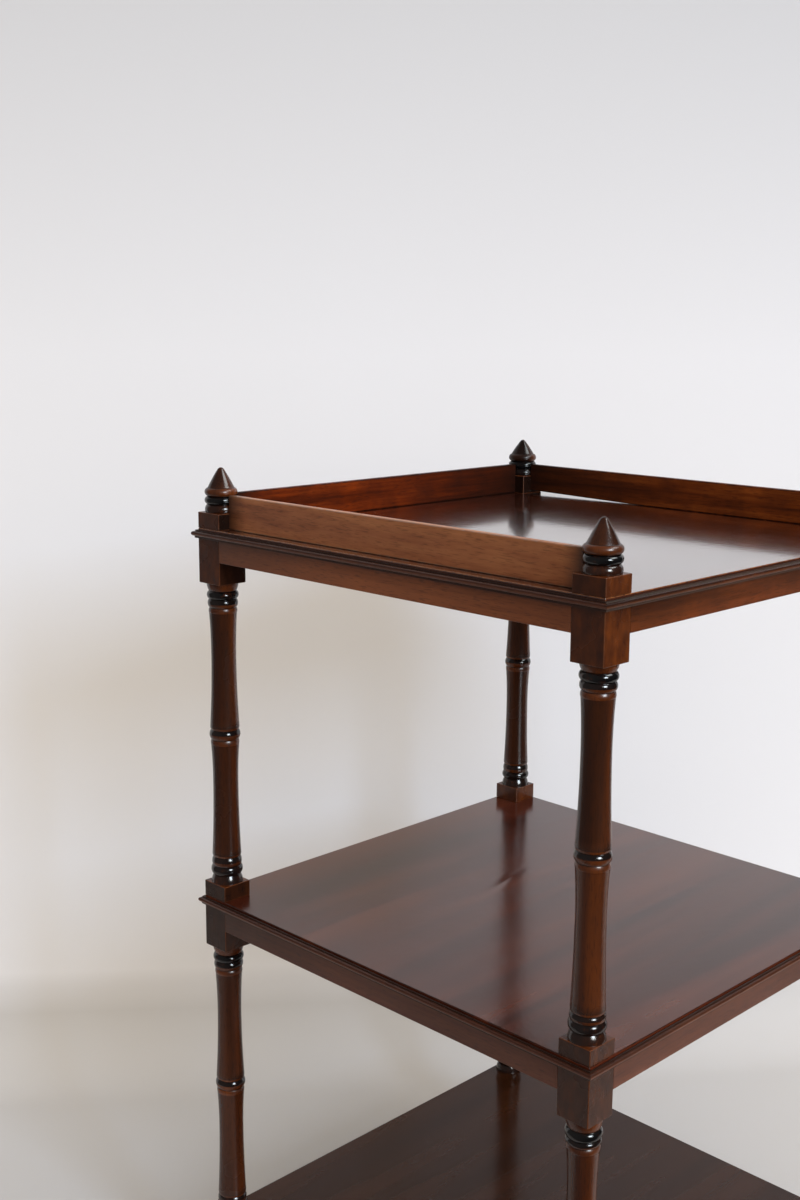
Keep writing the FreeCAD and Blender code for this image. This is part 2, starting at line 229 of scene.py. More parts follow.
@dataclass(frozen=True)
class Mahogany:
    """Mahogany under shellac polish, rubbed by hand: long soft streaks, dark pores, a thin glossy film."""

    name: str
    grain: Grain
    deep: str                           # the dark of the streaks
    body: str
    bright: str                         # the light between the streaks
    figure_span: Pair = (0.36, 0.64)    # the parts of the noise that give the dark and the light
    streak_width: float = 26.0
    streak_length: float = 420.0
    fine_width: float = 3.2
    fine_length: float = 70.0
    fine_share: float = 0.3
    grain_roughness: float = 0.55       # how much the finer octaves of the streaks count
    mottle_size: float = 9.0            # the figure of the squared lengths, cut across the grain's waves
    mottle_contrast: float = 0.55
    dirt_and_painted_light: str = "#120b08"               # dirt in the pores, and dirt and painted shade in the grooves
    pore_width: float = 0.9             # a real pore is near 0.2 mm, too fine to show
    pore_length: float = 9.0
    pore_span: Pair = (0.60, 0.72)      # the part of the noise that opens into pores
    pore_depth: float = 0.35            # how much a pore darkens the wood
    pore_bump: float = 0.15             # how much the polish has sunk into it
    pore_sink: float = 0.3              # and how deep at most, in millimetres
    squared_pores: float = -0.7         # how many fewer pores show on the squared lengths
    cloud_size: float = 60.0            # patches of uneven stain
    cloud_span: Pair = (0.35, 0.70)
    cloud_share: float = 0.25
    wear_and_painted_light: str = "#7a4c30"               # arrises and rubbed places: wear, with a painted highlight where pale and painted shade where dark
    rub_size: float = 7.0               # the patches in which they are rubbed
    rub_span: Pair = (0.35, 0.60)
    arris_wear_and_light: float = 0.35
    least_wear: float = 0.15            # what is left of it between the patches
    # the colour of the stain mark: painted shade, with dirt in places
    shade_and_dirt: str = "#160c08"
    ebony: str = "#0b0b0c"              # spirit black on the rings
    ebony_span: Pair = (0.30, 0.46)     # the part of the noise in which it has worn thin
    ebony_left: float = 0.62            # what is left of it there
    film_wave: float = 9.0              # unevenness of the polish, from the rubber's strokes
    film_bump: float = 0.05
    film_depth: float = 1.0
    roughness: float = 0.30
    dull_span: Pair = (0.3, 0.7)        # the clouds also dull the polish
    dulling: Pair = (0.88, 1.15)
    ring_roughness: float = 0.14        # the spirit black is burnished harder than the wood
    specular: float = 0.5
    rim_gloss: float = 1.0              # how the gloss changes towards grazing
    rim_span: Pair = (0.55, 0.95)
    shade_and_dirt_gloss: float = -0.6           # how much less the polish shines on the painted shade and dirt
    coat: float = 0.0
    coat_roughness: float = 0.10

    def _stretched(
        self, tree: bpy.types.NodeTree, place: bpy.types.Node, width: float, length: float, detail: float
    ) -> bpy.types.Node:
        """Noise drawn out along the grain.

        Args:
            tree: The material's tree.
            place: Object coordinates with the grain on X.
            width: The size of a streak across the grain, in millimetres.
            length: Its size along the grain.
            detail: Finer octaves of the noise.

        Returns:
            The noise.
        """
        scale = (1 / (length * MM), 1 / (width * MM), 1 / (width * MM))
        drawn = add_node(tree, "Mapping", {"Vector": place, "Scale": scale})
        return add_node(
            tree,
            "TexNoise",
            {"Vector": drawn, "Scale": 1.0, "Detail": detail, "Roughness": self.grain_roughness},
        )

    def _figure(
        self, tree: bpy.types.NodeTree, place: bpy.types.Node, squared: bpy.types.NodeSocket
    ) -> bpy.types.Node:
        """The wood itself: broad and fine streaks, or on the squared lengths a short mottle.

        Args:
            tree: The material's tree.
            place: Object coordinates with the grain on X.
            squared: One on the squared lengths.

        Returns:
            The colour.
        """
        streak = self._stretched(tree, place, self.streak_width, self.streak_length, 2.0)
        fine = self._stretched(tree, place, self.fine_width, self.fine_length, 3.0)
        both = add_node(tree, "Mix", {"Factor": self.fine_share, "A": streak, "B": fine})
        mottle = self._stretched(tree, place, self.mottle_size, 2 * self.mottle_size, 2.0)
        contrast, middle = self.mottle_contrast, 0.5 - 0.5 * self.mottle_contrast
        soft = add_node(tree, "Math", {0: mottle, 1: contrast, 2: middle}, operation="MULTIPLY_ADD")
        figure = add_node(tree, "Mix", {"Factor": squared, "A": both, "B": soft})
        wood = add_node(tree, "ValToRGB", {"Fac": figure})
        ramp = wood.color_ramp
        ramp.elements[0].position, ramp.elements[0].color = self.figure_span[0], linear(self.deep)
        ramp.elements[1].position, ramp.elements[1].color = self.figure_span[1], linear(self.bright)
        ramp.elements.new(0.5).color = linear(self.body)
        return wood

    def _coats(
        self,
        tree: bpy.types.NodeTree,
        marks: dict[str, bpy.types.NodeSocket],
        pore: bpy.types.Node,
        cloud: bpy.types.Node,
    ) -> list[tuple[Any, str]]:
        """What lies over the wood, from the pores up.

        Args:
            tree: The material's tree.
            marks: The marks of the blank, by their names.
            pore: The pores.
            cloud: The noise of the clouds.

        Returns:
            For each coat how much of it there is, and its colour.
        """
        squared = marks["squared"]
        fewer = add_node(tree, "Math", {0: squared, 1: self.squared_pores, 2: 1.0}, operation="MULTIPLY_ADD")
        seen = add_node(tree, "Math", {0: pore, 1: fewer}, operation="MULTIPLY")
        stain = add_node(tree, "MapRange", mapped(cloud, self.cloud_span, (0.0, self.cloud_share)))
        coords = add_node(tree, "TexCoord").outputs["Object"]
        rub = add_node(
            tree,
            "TexNoise",
            {"Vector": coords, "Scale": 1 / (self.rub_size * MM), "Detail": 4.0, "Roughness": 0.7},
        )
        wear = (self.least_wear * self.arris_wear_and_light, self.arris_wear_and_light)
        rubbed = add_node(tree, "MapRange", mapped(rub, self.rub_span, wear))
        touched = add_node(tree, "Math", {0: marks["arris"], 1: marks["rub"]}, operation="ADD")
        bare_and_lit = add_node(tree, "Math", {0: touched, 1: rubbed}, operation="MULTIPLY")
        patchy = add_node(tree, "MapRange", mapped(rub, self.ebony_span, (self.ebony_left, 1.0)))
        black = add_node(tree, "Math", {0: marks["ebony"], 1: patchy}, operation="MULTIPLY")
        # Besides dirt, stain and wear, these coats hold painted light: a painted highlight in the pale arris
        # colour, and painted shade in the grooves and on the stain mark.
        return [
            (seen, self.dirt_and_painted_light),
            (stain, self.deep),
            (bare_and_lit, self.wear_and_painted_light),
            (marks["stain"], self.shade_and_dirt),
            (black, self.ebony),
            (marks["groove"], self.dirt_and_painted_light),
        ]

    def _gloss(self, tree: bpy.types.NodeTree, stain: bpy.types.NodeSocket) -> bpy.types.Node | float:
        """A gloss that may change towards grazing, as a thick film's does, and is duller on the painted shade
        and dirt.

        Args:
            tree: The material's tree.
            stain: How much painted shade and dirt lie there.

        Returns:
            The specular level.
        """
        if self.rim_gloss == 1.0:
            return self.specular
        slant = add_node(tree, "LayerWeight", {"Blend": 0.5})
        levels = (self.specular, self.specular * self.rim_gloss)
        gloss = add_node(tree, "MapRange", mapped(slant.outputs["Facing"], self.rim_span, levels))
        dull = add_node(tree, "Math", {0: stain, 1: self.shade_and_dirt_gloss, 2: 1.0}, operation="MULTIPLY_ADD")
        return add_node(tree, "Math", {0: gloss, 1: dull}, operation="MULTIPLY")

    def make(self) -> bpy.types.Material:
        """Builds the material, from the wood up to the film of polish.

        Returns:
            The material, ready for any number of pieces.
        """
        material, tree = new_material(self.name)
        coords = add_node(tree, "TexCoord").outputs["Object"]
        place = add_node(tree, "Mapping", {"Vector": coords, "Rotation": self.grain.value})
        marks = {
            name: add_node(tree, "Attribute", attribute_name=name).outputs["Fac"]
            for name in POINT_MARKS + FACE_MARKS
        }
        holes = self._stretched(tree, place, self.pore_width, self.pore_length, 0.0)
        pore = add_node(tree, "MapRange", mapped(holes, self.pore_span, (0.0, self.pore_depth)))
        cloud = add_node(
            tree,
            "TexNoise",
            {"Vector": place, "Scale": 1 / (self.cloud_size * MM), "Detail": 3.0, "Roughness": 0.6},
        )
        colour = self._figure(tree, place, marks["squared"])
        for share, coat in self._coats(tree, marks, pore, cloud):
            colour = add_node(
                tree, "Mix", {"Factor": share, MIX_A: colour, MIX_B: linear(coat)}, data_type="RGBA"
            )

        wave = add_node(
            tree,
            "TexNoise",
            {"Vector": place, "Scale": 1 / (self.film_wave * MM), "Detail": 2.0, "Roughness": 0.5},
        )
        film = add_node(
            tree, "Bump", {"Height": wave, "Strength": self.film_bump, "Distance": self.film_depth * MM}
        )
        sunk = add_node(
            tree,
            "Bump",
            {"Height": pore, "Strength": self.pore_bump, "Distance": self.pore_sink * MM, "Normal": film},
            invert=True,
        )
        levels = (self.roughness * self.dulling[0], self.roughness * self.dulling[1])
        dull = add_node(tree, "MapRange", mapped(cloud, self.dull_span, levels))
        burnished = add_node(tree, "Mix", {"Factor": marks["ebony"], "A": dull, "B": self.ring_roughness})
        shader = add_node(
            tree,
            "BsdfPrincipled",
            {
                "Base Color": colour,
                "Roughness": burnished,
                "Specular IOR Level": self._gloss(tree, marks["stain"]),
                "Coat Weight": self.coat,
                "Coat Roughness": self.coat_roughness,
                "Normal": sunk,
                "Coat Normal": film,
            },
        )
        add_node(tree, "OutputMaterial", {"Surface": shader})
        return material


@dataclass(frozen=True)
class Blotched:
    """A dull surface of two colours that run into each other."""

    name: str
    body: str
    blotch: str
    size: float
    detail: float
    roughness: float
    metallic: float = 0.0

    def make(self) -> bpy.types.Material:
        """Builds the material.

        Returns:
            The material.
        """
        material, tree = new_material(self.name)
        coords = add_node(tree, "TexCoord").outputs["Object"]
        noise = add_node(
            tree, "TexNoise", {"Vector": coords, "Scale": 1 / (self.size * MM), "Detail": self.detail}
        )
        colour = add_node(
            tree,
            "Mix",
            {"Factor": noise, MIX_A: linear(self.body), MIX_B: linear(self.blotch)},
            data_type="RGBA",
        )
        shader = add_node(
            tree,
            "BsdfPrincipled",
            {"Base Color": colour, "Metallic": self.metallic, "Roughness": self.roughness},
        )
        add_node(tree, "OutputMaterial", {"Surface": shader})
        return material


class Finishes:
    """Every finish on the etagere, each made once.

    All the wood that shows is one mahogany, planed, stained and French-polished. The finishes differ by the
    dust and wear on each face, and by painted light and shade: paler lit copies, darker shaded copies,
    painted highlights and painted shade.
    """

    def __init__(self) -> None:
        """Builds the materials."""
        # Polished thinly and seldom rubbed: a soft sheen over a warm red brown with clouds of old stain.
        rail = {
            "deep": "#351708", "body": "#572a10", "bright": "#74391a", "roughness": 0.34, "specular": 0.25,
            "fine_share": 0.15, "cloud_share": 0.5, "cloud_size": 45.0,
        }
        # A lit copy for the top left rail, painted paler, more orange and plainer: painted light.
        lit_rail = {"deep": "#643419", "body": "#7d4424", "bright": "#92532f", "roughness": 0.36}
        # Dulled by years of wax and dust: greyer, with a faint bloom.
        grey_rail = {
            "deep": "#4a2517", "body": "#5b301d", "bright": "#6c3c26", "roughness": 0.36, "specular": 0.35,
        }
        along_x = Mahogany("long_rail_mahogany", Grain.ALONG_X, **rail).make()
        along_y = Mahogany("side_rail_mahogany", Grain.ALONG_Y, **rail).make()
        lit_copy_rail = Mahogany("lit_copy_rail_mahogany", Grain.ALONG_Y, **lit_rail).make()
        dull_side = Mahogany("dull_side_rail_mahogany", Grain.ALONG_Y, **grey_rail).make()
        dull_front = Mahogany("dull_front_rail_mahogany", Grain.ALONG_X, **grey_rail).make()
        self.mouldings = {
            (tier, side): along_x if side.across else along_y for tier in Tier for side in Side
        }
        for tier in Tier:
            self.mouldings[tier, Side.LEFT] = dull_side
        for tier in (Tier.MIDDLE, Tier.BOTTOM):
            self.mouldings[tier, Side.FRONT] = dull_front
        self.rails = {**self.mouldings, (Tier.TOP, Side.LEFT): lit_copy_rail}
        # A grey line painted along the angle over the roll and along the lip, in place of the dark groove
        # colour: a painted reflection of the pale sheen there.
        self.mouldings[Tier.TOP, Side.FRONT] = Mahogany(
            "sheen_line_moulding_mahogany", Grain.ALONG_X, **rail, dirt_and_painted_light="#453e38"
        ).make()

        # The outside of the left board is a lit copy, painted paler and nearly matt, with its top arris
        # painted grey for wear and a painted highlight. The other two turn their insides to the eye: shaded
        # copies in painted shade, deep orange red for a painted glow of the light thrown off the red shelf,
        # their arrises black.
        inside = {
            "roughness": 0.4, "cloud_share": 0.6, "cloud_size": 40.0, "wear_and_painted_light": "#1b0d07", "arris_wear_and_light": 0.9,
        }
        self.galleries = {
            Side.LEFT: Mahogany(
                "left_gallery_mahogany", Grain.ALONG_Y, "#7a4327", "#a0613c", "#b57549", roughness=0.4,
                wear_and_painted_light="#8f796b", arris_wear_and_light=0.7, fine_length=30.0,
            ).make(),
            Side.BACK: Mahogany(
                "back_gallery_mahogany", Grain.ALONG_X, "#2e0d02", "#602104", "#82340a", **inside,
                specular=0.06,
            ).make(),
            Side.RIGHT: Mahogany(
                "right_gallery_mahogany", Grain.ALONG_Y, "#3b1608", "#70330f", "#8f481b", **inside,
                specular=0.12,
            ).make(),
        }

        # Polished on the lathe, against the cloth: smooth bands of light on each ring, and a film so thin
        # that it hardly brightens towards the rim.
        self.turned = Mahogany(
            "turned_mahogany", Grain.ALONG_Z, "#371708", "#4e240a", "#66310d",
            fine_share=0.15, roughness=0.27, specular=0.42, rim_gloss=0.2,
        ).make()

        # The boards had their pores filled before they were polished, so they mirror the posts. The top was
        # built up with the most coats. The middle is a little redder and mirrors most at a low angle, and the
        # bottom, in the shade of the others, is painted the darkest and plainest, a shaded copy in painted
        # shade. The arrises of these two are painted dark: painted shade along their edges.
        board = {"streak_width": 38.0, "streak_length": 700.0, "fine_share": 0.1, "pore_depth": 0.1}
        shaded = {"cloud_size": 110.0, "wear_and_painted_light": "#20130d", "arris_wear_and_light": 0.9}
        self.shelves = {
            Tier.TOP: Mahogany(
                "top_shelf_mahogany", Grain.ALONG_X, "#2f140c", "#3d1b11", "#482315", **board,
                wear_and_painted_light="#8a552f", arris_wear_and_light=0.8, roughness=0.16, coat=1.0, coat_roughness=0.08,
            ).make(),
            Tier.MIDDLE: Mahogany(
                "middle_shelf_mahogany", Grain.ALONG_X, "#34140a", "#4b1f11", "#5c2a16", **board, **shaded,
                roughness=0.18, specular=0.42, rim_gloss=4.2, cloud_share=0.4,
            ).make(),
            Tier.BOTTOM: Mahogany(
                "bottom_shelf_mahogany", Grain.ALONG_X, "#2b1509", "#331a0c", "#391e0f", **board, **shaded,
                roughness=0.17, specular=0.2, cloud_share=0.35,
            ).make(),
        }

        # Sawn and never finished: pale, dry and dusty, with the late wood a little darker.
        self.pine = Blotched(
            "sawn_pine", "#8d6a45", "#6e4d2e", size=3.0, detail=2.0, roughness=0.85
        ).make()
        # Blued when it was new and dull since: dark metal under a bloom of rust.
        self.iron = Blotched(
            "old_iron_screw", "#4a4642", "#4a2a18", size=1.5, detail=3.0, roughness=0.55, metallic=0.8
        ).make()


# ---------------------------------------------------------------- wood under the tools


@dataclass(frozen=True)
class Crease:
    """A shallow crease in the top of a board, which shows where it breaks a reflection."""

    centre: Vector
    turn: float                         # degrees from the X axis
    length: float
    width: float
    depth: float

    @property
    def axes(self) -> tuple[Vector, Vector]:
        """The directions of its length and its width."""
        turned = Matrix.Rotation(math.radians(self.turn), 3, "Z")
        return turned @ Vector((1.0, 0.0, 0.0)), turned @ Vector((0.0, 1.0, 0.0))

    def sink(self, point: Vector) -> float:
        """How deep the crease is at a point of the board.

        Args:
            point: The point.

        Returns:
            The depth, in millimetres.
        """
        offset = point - self.centre
        along, across = self.axes
        out = math.hypot(2 * offset.dot(along) / self.length, 2 * offset.dot(across) / self.width)
        return self.depth * max(1.0 - out, 0.0) ** 2


class Blank:
    """A piece of wood being shaped, in millimetres, with the marks that its finish reads."""

    EASE_STEPS = 3
    END_REACH = 1.0                     # points this close to a board's end belong to it
    CREASE_CUTS = 23

    def __init__(self) -> None:
        """Starts an empty mesh with its marks."""
        self.mesh = bmesh.new()
        self.ebony, self.groove, self.rub, self.stain = map(self.mesh.verts.layers.float.new, POINT_MARKS)
        self.arris, self.squared = map(self.mesh.faces.layers.float.new, FACE_MARKS)

    def bar(self, low: Vector, high: Vector, ease: float, along: Vector | None = None) -> None:
        """Adds a squared length with eased arrises.

        Args:
            low: Its lowest corner.
            high: Its highest corner.
            ease: The width of the easing.
            along: The direction of the only edges that are eased, or None for all of them.
        """
        corners = bmesh.ops.create_cube(self.mesh, size=1.0)["verts"]
        bmesh.ops.scale(self.mesh, vec=high - low, verts=corners)
        bmesh.ops.translate(self.mesh, vec=(low + high) / 2, verts=corners)
        edges = {edge for corner in corners for edge in corner.link_edges}
        if along is not None:
            edges = {e for e in edges if (e.verts[1].co - e.verts[0].co).cross(along).length < ease}
        self.ease(edges, ease)

    def ease(self, edges: Iterable[bmesh.types.BMEdge], width: float) -> None:
        """Rounds edges over and marks them as arrises.

        Args:
            edges: The edges.
            width: The width of the rounding.
        """
        made = bmesh.ops.bevel(
            self.mesh,
            geom=list(edges),
            offset=width,
            offset_type="OFFSET",
            segments=self.EASE_STEPS,
            profile=0.5,
            affect="EDGES",
            material=-1,
        )
        for face in made["faces"]:
            face.normal_update()
            flat = max(abs(part) for part in face.normal) > SQUARE_ON
            face[self.arris] = 0.0 if flat else 1.0

    def saw(self, through: Vector, towards: Vector) -> None:
        """Divides every face along a plane.

        Args:
            through: A point of the plane.
            towards: The direction that it faces.
        """
        everything = self.mesh.verts[:] + self.mesh.edges[:] + self.mesh.faces[:]
        bmesh.ops.bisect_plane(self.mesh, geom=everything, plane_co=through, plane_no=towards)

    def end_shade_and_dirt(self, end: Vector, inward: Vector, length: float, stain: float) -> None:
        """Paints shade and dirt on a board towards one end, where it meets a post.

        Args:
            end: A corner at that end.
            inward: The direction from that end along the board.
            length: How far the dark reaches.
            stain: How dark the end itself is.
        """
        self.saw(end + inward * length, inward)
        for point in self.mesh.verts:
            if (point.co - end).dot(inward) < self.END_REACH:
                point[self.stain] = stain

    def press(self, crease: Crease) -> None:
        """Presses a crease into the top of a board.

        Args:
            crease: The crease.
        """
        patch = max(self.mesh.faces, key=lambda face: face.calc_center_median().z)
        for axis, reach in zip(crease.axes, (crease.length / 2, crease.width / 2)):
            for outward in (axis, -axis):
                cut = bmesh.ops.bisect_plane(
                    self.mesh,
                    geom=[patch, *patch.edges, *patch.verts],
                    plane_co=crease.centre + outward * reach,
                    plane_no=outward,
                )
                halves = [part for part in cut["geom"] if isinstance(part, bmesh.types.BMFace)]
                patch = min(halves, key=lambda face: face.calc_center_median().dot(outward))
        bmesh.ops.subdivide_edges(self.mesh, edges=patch.edges[:], cuts=self.CREASE_CUTS, use_grid_fill=True)
        for point in self.mesh.verts:
            point.co.z -= crease.sink(point.co)

    def finish(
        self, name: str, node: str, material: bpy.types.Material, place: Matrix | None = None
    ) -> None:
        """Turns the blank into a piece that stands for a node.

        Args:
            name: The piece's name.
            node: The node it stands for.
            material: Its finish.
            place: Where it goes, in millimetres, if it isn't there already.
        """
        into_frame = Matrix.Scale(MM, 4) @ (place or Matrix.Identity(4))
        bmesh.ops.recalc_face_normals(self.mesh, faces=self.mesh.faces[:])
        bmesh.ops.transform(self.mesh, matrix=into_frame, verts=self.mesh.verts[:])
        data = bpy.data.meshes.new(name)
        self.mesh.to_mesh(data)
        self.mesh.free()
        data.shade_smooth()
        data.set_sharp_from_angle(angle=math.radians(SHARP_DEGREES))
        data.materials.append(material)
        piece = bpy.data.objects.new(name, data)
        bpy.context.scene.collection.objects.link(piece)
        weighted = piece.modifiers.new("even_faces", "WEIGHTED_NORMAL")
        weighted.keep_sharp = True
        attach(piece, BODY)
        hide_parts(node)
        log.info("made %s for %s, %d faces", name, node, len(data.polygons))


@dataclass(frozen=True)
class Bead:
    """One rounded member of a turning."""

    name: str
    height: float
    swell: float                        # its radius at half its height
    end: float                          # its radius at its top
    black: float = 0.0                  # how much of the spirit black its upper half has
    black_below: float | None = None    # and its lower half, where that differs
    dirt_and_painted_light: float = 0.75                  # how dark the groove under it is painted: dirt and painted shade
    rub: float = 0.0                    # how far its lower edge is rubbed bare
    black_from: float = 0.45            # where its upper part begins, as a share of its height


@dataclass(frozen=True)
class Shaft:
    """A hollow shaft between two grooves: its rounded edge, the hollow and the rounded shoulder."""

    waist: float                        # the radius of the waist
    waist_drop: float                   # from the top of the hollow down to the waist
    radius: float                       # the radius at the top of the hollow
    shoulder: Bead
    edge: Bead = Bead("shaft_edge", 2.8, 14.6, 14.85, rub=0.7)
    black: float = 0.15                 # the shafts are stained a little darker than the blocks
    stain: float = 0.5                  # painted shade on the side away from the light, towards -X


class Lathe(Blank):
    """A blank on the lathe: an outline drawn upwards and spun about the Z axis."""

    ARC_STEPS = 10
    TURN_STEPS = 80
    SEAM = 0.001                        # points closer than this are one when the turn is closed
    GROOVE_SHARPNESS = 4                # the power by which the dirt and painted shade thin out on the way from the groove
    RUBBED = (0.05, 0.25)               # the part of a member's height that hands rub bare
    SHADED_FROM = 0.15                   # the painted shade stops on the lit side towards +X, from this share of the radius
    SHADED_OVER = 0.8

    def __init__(
        self, z: float, radius: float, by_eye: dict[str, float] | None = None, shade_all_round: float = 0.0
    ) -> None:
        """Sets the tool to the foot of the turning.

        Args:
            z: The height of the foot.
            radius: The radius there.
            by_eye: How much taller this piece's members are than usual, by their names.
            shade_all_round: How much painted shade its beads carry all round.
        """
        super().__init__()
        self.by_eye = by_eye or {}
        self.shade_all_round = shade_all_round
        self.point = self.mesh.verts.new((radius, 0.0, z))

    def height_of(self, member: Bead) -> float:
        """The height of a member on this piece."""
        return member.height + self.by_eye.get(member.name, 0.0)

    def line(self, rise: float, radius: float) -> None:
        """Draws a straight stretch.

        Args:
            rise: Its height.
            radius: The radius it ends at.
        """
        end = self.mesh.verts.new((radius, 0.0, self.point.co.z + rise))
        self.mesh.edges.new((self.point, end))
        self.point = end

    def arc(self, middle: Vector, end: Vector) -> list[bmesh.types.BMVert]:
        """Draws an arc from the tool's point.

        Args:
            middle: A point on the arc.
            end: Where it ends.

        Returns:
            The new points, in order.
        """
        start = self.point.co.copy()
        a, b = middle - start, end - start
        normal = a.cross(b)
        centre = start + (
            a.length_squared * b.cross(normal) + b.length_squared * normal.cross(a)
        ) / (2 * normal.length_squared)
        angle = (start - centre).angle(end - centre)
        if (middle - centre).dot((start + end) / 2 - centre) < 0:
            angle = 2 * math.pi - angle
        before = len(self.mesh.verts)
        bmesh.ops.spin(
            self.mesh,
            geom=[self.point],
            cent=centre,
            axis=normal.normalized(),
            angle=angle,
            steps=self.ARC_STEPS,
        )
        self.mesh.verts.ensure_lookup_table()
        drawn = self.mesh.verts[before:]
        self.point = drawn[-1]
        return drawn

    def bead(self, member: Bead) -> None:
        """Turns one rounded member, dark in its groove.

        Args:
            member: The member.
        """
        foot = self.point
        foot[self.groove] = max(foot[self.groove], member.dirt_and_painted_light)
        height = self.height_of(member)
        middle = Vector((member.swell, 0.0, foot.co.z + height / 2))
        drawn = self.arc(middle, Vector((member.end, 0.0, foot.co.z + height)))
        below = member.black if member.black_below is None else member.black_below
        for step, point in enumerate(drawn, start=1):
            share = step / len(drawn)
            depth = 1.0 - math.sin(math.pi * share)
            point[self.groove] = member.dirt_and_painted_light * depth ** self.GROOVE_SHARPNESS
            point[self.ebony] = member.black if share > member.black_from else below
            point[self.rub] = member.rub if self.RUBBED[0] < share < self.RUBBED[1] else 0.0
            point[self.stain] = self.shade_all_round

    def _hollow(self, rise: float, shaft: Shaft) -> None:
        """Turns a long hollow in two arcs that meet upright at the waist.

        Args:
            rise: Its height.
            shaft: The shaft it is part of.
        """
        end = Vector((shaft.radius, 0.0, self.point.co.z + rise))
        low = Vector((shaft.waist, 0.0, end.z - shaft.waist_drop))
        for target in (low, end):
            outer = self.point.co.copy() if target is low else end
            spread, height = outer.x - low.x, outer.z - low.z
            bend = (spread ** 2 + height ** 2) / (2 * spread)
            half = math.asin(abs(height) / bend) / 2
            up = math.copysign(bend * math.sin(half), height)
            for point in self.arc(Vector((low.x + bend * (1 - math.cos(half)), 0.0, low.z + up)), target):
                point[self.groove] = 0.0
                point[self.ebony] = shaft.black
                point[self.stain] = shaft.stain

    def shaft(self, shaft: Shaft, height: float) -> None:
        """Turns a shaft.

        Args:
            shaft: The shaft.
            height: Its whole height.
        """
        self.bead(shaft.edge)
        self._hollow(height - shaft.edge.height - shaft.shoulder.height, shaft)
        self.bead(shaft.shoulder)

    def spin(self) -> None:
        """Spins the outline into a closed solid and takes the shafts' painted shade off their lit side,
        towards +X.
        """
        bmesh.ops.spin(
            self.mesh,
            geom=self.mesh.verts[:] + self.mesh.edges[:],
            cent=(0.0, 0.0, 0.0),
            axis=(0.0, 0.0, 1.0),
            angle=2 * math.pi,
            steps=self.TURN_STEPS,
            use_merge=True,
        )
        bmesh.ops.remove_doubles(self.mesh, verts=self.mesh.verts[:], dist=self.SEAM)
        rims = [edge for edge in self.mesh.edges if edge.is_boundary]
        bmesh.ops.holes_fill(self.mesh, edges=rims, sides=0)
        for point in self.mesh.verts:
            if point[self.stain] > self.shade_all_round:
                turned_away = -point.co.x / math.hypot(point.co.x, point.co.y)
                share = min(max((turned_away + self.SHADED_FROM) / self.SHADED_OVER, 0.0), 1.0)
                point[self.stain] *= share * share * (3 - 2 * share)


# ---------------------------------------------------------------- sub-assemblies


@dataclass
class Post:
    """What every piece of a post shares."""

    side: float = 33.0
    block_height: float = 45.0
    ease: float = 0.7
    neck: tuple[Bead, ...] = (          # the members under every corner block
        Bead("collar", 8.9, 15.2, 13.8, black=0.95, black_below=0.1),
        Bead("ring", 8.2, 15.95, 13.8, black=1.0),
        Bead("quarter_round", 8.3, 15.3, 15.9, black=0.05),
    )
    # how much painted shade a square face has, by node and side: faces under the shelves and turned from the
    # light, with dirt in places
    shade_and_dirt: dict[str, dict[Side, float]] = field(
        default_factory=lambda: {
            "upper_column_front_left": {Side.LEFT: 0.1},
            "upper_column_front_left_plinth": {Side.LEFT: 0.65, Side.FRONT: 0.45},
            "upper_column_back_left_plinth": {Side.LEFT: 0.8, Side.FRONT: 0.75},
            "lower_column_front_left": {Side.LEFT: 0.5, Side.FRONT: 0.55},
            "upper_column_back_left": {Side.LEFT: 0.25, Side.FRONT: 0.75},
            "lower_column_back_left": {Side.LEFT: 0.75, Side.FRONT: 0.65},
            "finial_back_left": {Side.LEFT: 0.35, Side.FRONT: 0.95},
            "finial_back_right": {Side.LEFT: 0.95, Side.FRONT: 0.95},
            "finial_front_left": {Side.LEFT: 0.4},
        }
    )

    def squared(self, blank: Blank, low_z: float, high_z: float, node: str) -> None:
        """Adds a length of square post on the Z axis.

        Args:
            blank: The blank that takes it.
            low_z: Its foot.
            high_z: Its top.
            node: The node it is part of, with _plinth after it for a plinth.
        """
        half = self.side / 2
        before = len(blank.mesh.faces)
        blank.bar(Vector((-half, -half, low_z)), Vector((half, half, high_z)), self.ease)
        blank.mesh.faces.ensure_lookup_table()
        for face in blank.mesh.faces[before:]:
            face[blank.squared] = 1.0
            for side, stain in self.shade_and_dirt.get(node, {}).items():
                if face.normal.dot(side.outward) > SQUARE_ON:
                    for point in face.verts:
                        point[blank.stain] = stain

    def stand(self, blank: Blank, name: str, node: str, finishes: Finishes) -> None:
        """Finishes a piece and stands it on the axis of its post.

        Args:
            blank: The piece.
            name: Its name.
            node: The node it stands for.
            finishes: The finishes.
        """
        low, high = millimetres(node)
        middle = (low + high) / 2
        axis = Matrix.Translation((middle.x, middle.y, 0.0))
        blank.finish(name, node, finishes.turned, axis)


